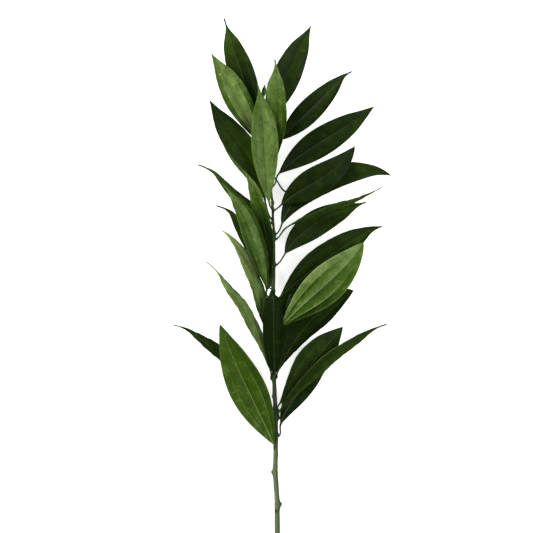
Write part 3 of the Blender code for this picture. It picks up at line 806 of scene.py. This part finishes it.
def midrib_at(leaf, u):
    """Point of the midrib at u, with the bend of the hooked tip."""
    point = through_four(leaf.midrib, u)
    ahead = unit(point - through_four(leaf.midrib, u - 0.01))
    left, _ = cross_frame(ahead, 0)
    bent = max(0.0, (u - 1 + HOOK_SHARE) / HOOK_SHARE)
    return point + left * leaf.hook * bent * bent


def heading_at(leaf, u):
    """Direction of the midrib at u, towards the tip."""
    low, high = max(0.0, u - 0.01), min(1.0, u + 0.01)
    return unit(midrib_at(leaf, high) - midrib_at(leaf, low))


def outline(leaf, u):
    """Share of the full width that the blade has at u."""
    along = u ** (math.log(0.5) / math.log(leaf.widest))
    swell = max(0.0, math.sin(math.pi * along))
    share = swell ** (1.0 if along < 0.5 else BLUNT_POWER + (1 - BLUNT_POWER) * leaf.point)
    near_tip = min(1.0, (1 - u) / DRAWN_SHARE)
    drawn = near_tip * near_tip * (3 - 2 * near_tip)
    return share * (1 - leaf.point * (1 - drawn))


def half_width_at(leaf, u):
    """Half the blade's width at u, at least that of a thin strip and rounded off at the tip."""
    least = FOOT_HALF_WIDTH + (TIP_HALF_WIDTH - FOOT_HALF_WIDTH) * u
    half_width = max(outline(leaf, u) * leaf.width / 2, least)
    return half_width * math.sqrt(min(1.0, max(0.1, (1 - u) / TIP_CLOSING)))


def blade_rise(leaf, u, phases, sizes):
    """How far the blade rises across u: its arch, quilting, long waves and short ripples."""
    v = np.array(ACROSS)
    size, share, nerve = np.abs(v), outline(leaf, u), sizes.nerve_place
    arch = 4 * size * (1 - size) * HALF_ARCH * share
    inner = np.where(size < nerve, np.sin(math.pi * size / nerve), 0.0)
    outer = np.where(size >= nerve, np.sin(math.pi * (size - nerve) / (1 - nerve)), 0.0)
    plainness = 0.4 + min(0.6, 2 * leaf.look.side)
    quilt = sizes.quilt / MM * plainness * share * (inner + 0.7 * outer)
    phase = np.where(v < 0, phases[0], phases[1])
    wave = v * v * MARGIN_WAVE * share * np.sin(2 * math.pi * MARGIN_WAVES * u + phase)
    short = sum(
        height * np.sin(2 * math.pi * count * u + shift * phase) for count, shift, height in SHORT_WAVES
    )
    ripple = size**4 * sizes.ripple / MM * min(1.0, 2 * share) * short
    return arch + quilt + wave + ripple


def blade_depths(u, half_width, sizes):
    """How far the upper and the lower face lie from the middle of the blade, across u."""
    size = np.abs(ACROSS)
    off = size * half_width
    thin = (sizes.margin_thickness - sizes.blade_thickness) / MM
    half_thick = (sizes.blade_thickness / MM + thin * smooth(size, MARGIN_START, 1.0)) / 2
    groove = -GROOVE_DEPTH * np.exp(-((off / GROOVE_REACH) ** 2)) * (1 - 0.7 * u)
    rib = sizes.midrib_depth / MM * (1 - u) ** 1.2 * np.exp(-((off / MIDRIB_REACH) ** 2))
    from_nerve = (size - sizes.nerve_place) * half_width
    nerves = SIDE_NERVE_DEPTH * (1 - u) * np.exp(-((from_nerve / SIDE_NERVE_REACH) ** 2))
    return half_thick + groove, half_thick + rib + nerves


def round_ring(middle, left, up, radius):
    """A ring of a stalk, with as many points as a ring of the blade and in the same order."""
    count = len(ACROSS)
    angles = math.pi * (1 - (np.arange(2 * count) + 0.5) / count)
    return middle + radius * (np.outer(np.sin(angles), up) - np.outer(np.cos(angles), left))


def blade_ring(leaf, u, phases, sizes):
    """Points round the blade at u, upper face from left to right and then the lower face back."""
    v = np.array(ACROSS)
    middle = midrib_at(leaf, u)
    roll = leaf.roll[0] + (leaf.roll[1] - leaf.roll[0]) * u
    left, up = cross_frame(heading_at(leaf, u), roll)
    half_width = half_width_at(leaf, u)
    fold = math.radians(leaf.fold)
    rise = np.abs(v) * half_width * math.sin(fold) + blade_rise(leaf, u, phases, sizes)
    sheet = middle + np.outer(rise, up) - np.outer(v * half_width * math.cos(fold), left)
    above, below = blade_depths(u, half_width, sizes)
    upper = sheet + np.outer(above, up)
    lower = sheet - np.outer(below, up)
    upper[:, 2] = np.maximum(upper[:, 2], sizes.blade_thickness / MM)
    lower[:, 2] = np.maximum(lower[:, 2], 0.0)
    ring = np.concatenate((upper, lower[::-1]))
    kept = smooth(u, 0.0, FOOT_ROUNDING)
    if kept < 1.0:
        stalk = round_ring(middle, left, up, sizes.stalk_radius / MM * (1 + FOOT_SWELL))
        ring = ring * kept + stalk * (1 - kept)
    return ring, half_width


def stalk_rings(leaf, sizes):
    """Rings of the stalk, from inside its cushion on the stem to the foot of the blade."""
    centre, stem_radius = stem_at(leaf.stem_y)
    away = outward(leaf.side)
    seat = centre + away * (stem_radius + CUSHION_HEIGHT + SEAT_GAP)
    foot, foot_way = midrib_at(leaf, 0.0), heading_at(leaf, 0.0)
    reach = np.linalg.norm(foot - seat)
    radius = sizes.stalk_radius / MM
    rings = [round_ring(seat - away * STALK_SINK, *cross_frame(away, 0), radius * (1 + SUNK_SWELL))]
    for t in np.linspace(0.0, STALK_END, STALK_RINGS):
        middle = smooth_course(t, seat, reach * away, foot, reach * foot_way)
        ahead = (
            6 * t * (1 - t) * (foot - seat)
            + (1 - t) * (1 - 3 * t) * reach * away
            + t * (3 * t - 2) * reach * foot_way
        )
        left, up = cross_frame(unit(ahead), leaf.roll[0] * t)
        at_seat, at_foot = math.exp(-((t / 0.12) ** 2)), math.exp(-(((1 - t) / 0.25) ** 2))
        swell = 1 + SEAT_SWELL * at_seat + FOOT_SWELL * at_foot
        rings.append(round_ring(middle, left, up, radius * swell))
    return rings


def ring_faces(ring_count, size):
    """Four-sided faces over rings of points, with a face over each open end."""
    faces = []
    for i in range(ring_count - 1):
        for j in range(size):
            a, b = i * size + j, i * size + (j + 1) % size
            faces.append((a, b, b + size, a + size))
    end = (ring_count - 1) * size
    return faces + [tuple(reversed(range(size))), tuple(range(end, end + size))]


def add_uv_map(mesh, name, points):
    """A UV map from one pair of numbers for each vertex."""
    corners = np.empty(len(mesh.loops), int)
    mesh.loops.foreach_get("vertex_index", corners)
    layer = mesh.uv_layers.new(name=name)
    layer.data.foreach_set("uv", np.array(points, np.float32)[corners].ravel())


def new_object(name, data):
    """A new object in the scene."""
    made = bpy.data.objects.new(name, data)
    bpy.context.scene.collection.objects.link(made)
    return made


def mesh_piece(node, points, faces, materials):
    """A smooth mesh, kept inside the solids' box, in place of a solid. Points are in millimetres."""
    low, high = SOLID_BOX
    name = node + "_fine"
    mesh = bpy.data.meshes.new(name)
    mesh.from_pydata(np.clip(np.array(points) * MM, low, high).tolist(), [], faces)
    for material in materials:
        mesh.materials.append(material)
    mesh.shade_smooth()
    piece = new_object(name, mesh)
    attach(piece, "root")
    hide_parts(node)
    return mesh


def make_leaf(place, leaf):
    """One leaf with its stalk, in the place of its solid."""
    sizes = bpy.context.scene.branch_sizes
    draw = random.Random(place)
    phases = (draw.uniform(0, 2 * math.pi), draw.uniform(0, 2 * math.pi))
    stalk = stalk_rings(leaf, sizes)
    t = np.linspace(0.0, 1.0, BLADE_RINGS)
    closer_at_ends = 0.6 * t + 0.4 * (1 - np.cos(math.pi * t)) / 2
    rings = [(ring, -0.01 - 0.02 * (len(stalk) - i), 1.0) for i, ring in enumerate(stalk)]
    for u in closer_at_ends:
        ring, half_width = blade_ring(leaf, u, phases, sizes)
        rings.append((ring, u, half_width))
    v = np.array(ACROSS)
    middles = np.array([ring.mean(0) for ring, _, _ in rings])
    gone = np.concatenate(([0.0], np.cumsum(np.linalg.norm(np.diff(middles, axis=0), axis=1))))
    blade_map, reach_map = [], []
    for (_, u, half_width), run in zip(rings, gone):
        blade_map += [(u, 0.5 + w / 2) for w in v] + [(u, 1.5 + w / 2) for w in v[::-1]]
        reach_map += [(run / 100, w * half_width / 100) for w in (*v, *v[::-1])]
    points = np.concatenate([ring for ring, _, _ in rings])
    faces = ring_faces(len(rings), 2 * len(ACROSS))
    mesh = mesh_piece(leaf.name, points, faces, [leaf_material(leaf, place)])
    add_uv_map(mesh, "blade", blade_map)
    add_uv_map(mesh, "reach", reach_map)


def make_leaves(word):
    """Every leaf whose name holds the word."""
    for place, leaf in enumerate(LEAVES):
        if word in leaf.name:
            make_leaf(place, leaf)


def stem_places():
    """Places along the stem for its rings, closer together at cushions and scars."""
    places = list(np.arange(CUT_END_Y, STEM_TIP_Y, STEM_STEP)) + [STEM_TIP_Y]
    for y in [leaf.stem_y for leaf in LEAVES] + [scar[0] for scar in STEM_SCARS_AND_HIGHLIGHTS]:
        places += list(np.arange(y - NUB_REACH, y + NUB_REACH, NUB_STEP))
    places = sorted(p for p in places if CUT_END_Y <= p <= STEM_TIP_Y)
    kept = [places[0]]
    for place in places[1:]:
        if place - kept[-1] > 0.6 * NUB_STEP:
            kept.append(place)
    return kept


def bark_rings(places, sizes):
    """Rings round the stem with the ridges of its bark, which close over at its tip."""
    turn = 2 * math.pi * np.arange(STEM_SIDES) / STEM_SIDES
    round_way = np.stack((np.cos(turn), np.zeros(STEM_SIDES), np.sin(turn)), axis=1)
    rings = []
    for y in places:
        middle, radius = stem_at(y)
        ridge = np.cos(7 * turn + y / 40) + 0.6 * np.cos(11 * turn - y / 25)
        uneven = 0.04 * math.sin(y / 3.1) + 0.05 * math.sin(y / 7.7)
        from_tip = min(1.0, (STEM_TIP_Y - y) / STEM_CLOSING)
        closing = math.sqrt(max(0.0, 1 - (1 - from_tip) ** 2))
        lengths = (radius + uneven) * closing + sizes.bark_ridge / MM * ridge * closing
        rings.append(middle + round_way * lengths[:, None])
    return rings


def raise_nub(points, centre, away, height, sharp, spread):
    """Pushes the stem's surface out at one side into a rounded nub. Returns how near each point is."""
    apart = points - centre
    ahead = apart @ away
    aside = apart - np.outer(ahead, away)
    along = aside[:, 1] * np.where(aside[:, 1] > 0, 0.6, 1.4)
    round_way = np.linalg.norm(aside[:, [0, 2]], axis=1)
    peak = np.exp(-((along / sharp) ** 2)) * np.exp(-((round_way / sharp) ** 2))
    slope = np.exp(-((along / spread) ** 2)) * np.exp(-((round_way / (1.6 * sharp)) ** 2))
    near = np.where(ahead > 0, 0.6 * peak + 0.4 * slope, 0.0)
    points += np.outer(near * height, away)
    return np.where(ahead > 0, smooth(peak, 0.1, 0.6), 0.0)


def raise_nubs(points):
    """Raises the cushions, the buds over them and the scars. Returns how dark each point's mark is;
    painted highlights are below 0.

    The last leaf, the young one, grows out of the stem's tip and has no cushion.
    """
    for leaf in LEAVES[:-1]:
        centre, _ = stem_at(leaf.stem_y)
        away = outward(leaf.side)
        raise_nub(points, centre, away, CUSHION_HEIGHT, *CUSHION_SPREAD)
        raise_nub(points, centre + np.array((0.0, BUD_RISE, 0.0)), away, BUD_HEIGHT, *BUD_SPREAD)
    scars = np.zeros(len(points))
    for y, side, height, dark in STEM_SCARS_AND_HIGHLIGHTS:
        centre, _ = stem_at(y)
        near = raise_nub(points, centre, outward(side), height, *SCAR_SPREAD)
        scars = np.where(near * abs(dark) > np.abs(scars), near * dark, scars)
    return scars


def cut_rings(rim):
    """Rings over the cut face, from its rim to its middle, where the pith lies deeper."""
    middle, _ = stem_at(CUT_END_Y)
    rings = []
    for share in CUT_SHARES:
        sunk = PITH_DEPTH * (share < PITH_SHARE) + WOOD_DEPTH * (share < 0.9)
        rings.append(middle + (rim - middle) * share + np.array((0.0, sunk, 0.0)))
    return rings


def cut_faces(bark_points):
    """Faces over the rings of the cut face, whose points follow those of the bark."""
    last = bark_points + len(CUT_SHARES) * STEM_SIDES
    order = [*range(STEM_SIDES), *range(bark_points, last)]
    *sides, _, middle = ring_faces(len(CUT_SHARES) + 1, STEM_SIDES)
    return [tuple(order[i] for i in face) for face in (*sides, middle)]


class BRANCH_OT_stem(bpy.types.Operator):
    """Makes the stem with its cushions, buds, scars and cut face"""

    bl_idname = "branch.stem"
    bl_label = "Stem"

    def execute(self, context):
        sizes, colours = context.scene.branch_sizes, context.scene.branch_colours
        places = stem_places()
        rings = bark_rings(places, sizes)
        bark = np.concatenate(rings)
        scars = raise_nubs(bark)
        bark[:, 2] = np.maximum(bark[:, 2], 0.0)
        points = np.concatenate((bark, *cut_rings(rings[0])))
        bark_faces = [tuple(reversed(face)) for face in ring_faces(len(places), STEM_SIDES)[:-2]]
        faces = bark_faces + cut_faces(len(bark))
        outside = finished_material("bark", bark_group(), tints(BARK_TINTS), BARK_RELIEF, BARK_GLOSS)
        mesh = mesh_piece("stem", points, faces, [outside, cut_material(colours)])
        for polygon in mesh.polygons[len(bark_faces):]:
            polygon.material_index = 1
        around = [(a / STEM_SIDES, y / 100) for y in places for a in range(STEM_SIDES)]
        around += [(share, 0.0) for share in CUT_SHARES for _ in range(STEM_SIDES)]
        # The marks hold scars above 0 and painted highlights below 0.
        scars = np.append(scars, np.zeros(len(points) - len(bark)))
        # The bark among the leaves is marked darker, partly as painted shade of the leaves over it.
        age_and_leaf_shade = smooth(points[:, 1], SHADED_NEW_BARK_Y, UNSHADED_OLD_BARK_Y)
        add_uv_map(mesh, "around", around)
        add_uv_map(mesh, "marks", np.stack((0.5 + scars / 2, age_and_leaf_shade), axis=1))
        return {"FINISHED"}


class BRANCH_OT_left_leaves(bpy.types.Operator):
    """Makes the leaves on the left of the stem"""

    bl_idname = "branch.left_leaves"
    bl_label = "Left leaves"

    def execute(self, context):
        make_leaves("left")
        return {"FINISHED"}


class BRANCH_OT_right_leaves(bpy.types.Operator):
    """Makes the leaves on the right of the stem"""

    bl_idname = "branch.right_leaves"
    bl_label = "Right leaves"

    def execute(self, context):
        make_leaves("right")
        return {"FINISHED"}


class BRANCH_OT_front_leaves(bpy.types.Operator):
    """Makes the leaves that point up from the stem, and the young one at its tip"""

    bl_idname = "branch.front_leaves"
    bl_label = "Front leaves"

    def execute(self, context):
        make_leaves("front")
        make_leaves("young")
        return {"FINISHED"}


class BRANCH_OT_back_leaves(bpy.types.Operator):
    """Makes the leaves on the side that the branch lies on"""

    bl_idname = "branch.back_leaves"
    bl_label = "Back leaves"

    def execute(self, context):
        make_leaves("back")
        return {"FINISHED"}


def make_floor(colours):
    """A plain pale floor, which glows a little so that it stays even."""
    mesh = bpy.data.meshes.new("floor")
    edge = FLOOR_REACH
    corners = ((-edge, -edge), (edge, -edge), (edge, edge), (-edge, edge))
    mesh.from_pydata([(x, y, FLOOR_HEIGHT) for x, y in corners], [], [(0, 1, 2, 3)])
    material, g, shader = new_material("plain_floor")
    g.feed(shader, {"Base Color": solid(colours.floor), "Roughness": 0.9, "Specular IOR Level": 0.1})
    g.feed(shader, {"Emission Color": solid(WHITE), "Emission Strength": FLOOR_GLOW})
    mesh.materials.append(material)
    floor = new_object("floor", mesh)
    floor.visible_glossy = False


def add_light(name, place, size, power):
    """A square soft light that faces the middle of the branch."""
    data = bpy.data.lights.new(name, "AREA")
    data.size = size
    data.energy = power
    data.color = LIGHT_TINT
    light = new_object(name, data)
    light.location = place
    light.rotation_mode = "QUATERNION"
    light.rotation_quaternion = (-Vector(place)).to_track_quat("-Z", "Y")


def soft_room():
    """A room whose light comes from low on its walls and leaves it dim overhead."""
    world = bpy.data.worlds.new("soft_room")
    world.use_nodes = True
    g = Graph(world.node_tree)
    height = g.numbers(g.node("ShaderNodeTexCoord").outputs["Generated"])[2]
    level = g.times(g.step(height, 0.9, 0.5), g.step(height, -0.1, 0.1))
    strength = g.times(level, ROOM_GAIN, ROOM_LIGHT)
    g.feed(g.tree.nodes["Background"], {"Color": solid(WHITE), "Strength": strength})
    return world


def camera_above():
    """A camera that looks straight down on the branch with the photograph's frame."""
    data = bpy.data.cameras.new("camera")
    data.sensor_width = SENSOR_WIDTH
    data.lens = SENSOR_WIDTH * CAMERA_DISTANCE / FRAME_WIDTH
    data.clip_end = 50.0
    camera = new_object("camera", data)
    camera.location = (*FRAME_MIDDLE, FOCUS_HEIGHT + CAMERA_DISTANCE)
    return camera


class BRANCH_OT_stage(bpy.types.Operator):
    """Makes the plain floor, the soft studio lights and the camera that looks down"""

    bl_idname = "branch.stage"
    bl_label = "Stage"

    def execute(self, context):
        scene = context.scene
        make_floor(scene.branch_colours)
        for light in LIGHTS:
            add_light(*light)
        scene.world = soft_room()
        scene.camera = camera_above()
        scene.view_settings.view_transform = "Standard"
        scene.view_settings.look = "None"
        return {"FINISHED"}


class BRANCH_PT_panel(bpy.types.Panel):
    """The branch's pieces, sizes and colours"""

    bl_idname = "BRANCH_PT_panel"
    bl_label = "Cocculus branch"
    bl_space_type = "VIEW_3D"
    bl_region_type = "UI"
    bl_category = "Branch"

    def draw(self, context):
        for operator in OPERATORS:
            self.layout.operator(operator.bl_idname)
        for group in (context.scene.branch_sizes, context.scene.branch_colours):
            box = self.layout.box()
            for name in group.__annotations__:
                box.prop(group, name)


OPERATORS = (
    BRANCH_OT_stem,
    BRANCH_OT_left_leaves,
    BRANCH_OT_right_leaves,
    BRANCH_OT_front_leaves,
    BRANCH_OT_back_leaves,
    BRANCH_OT_stage,
)
CLASSES = (BranchSizes, BranchColours, *OPERATORS, BRANCH_PT_panel)


def register():
    for each in CLASSES:
        bpy.utils.register_class(each)
    bpy.types.Scene.branch_sizes = PointerProperty(type=BranchSizes)
    bpy.types.Scene.branch_colours = PointerProperty(type=BranchColours)


def unregister():
    del bpy.types.Scene.branch_colours
    del bpy.types.Scene.branch_sizes
    for each in reversed(CLASSES):
        bpy.utils.unregister_class(each)


def main():
    register()
    bpy.ops.branch.stage()
    bpy.ops.branch.stem()
    bpy.ops.branch.left_leaves()
    bpy.ops.branch.right_leaves()
    bpy.ops.branch.front_leaves()
    bpy.ops.branch.back_leaves()


if __name__ == "__main__":
    main()
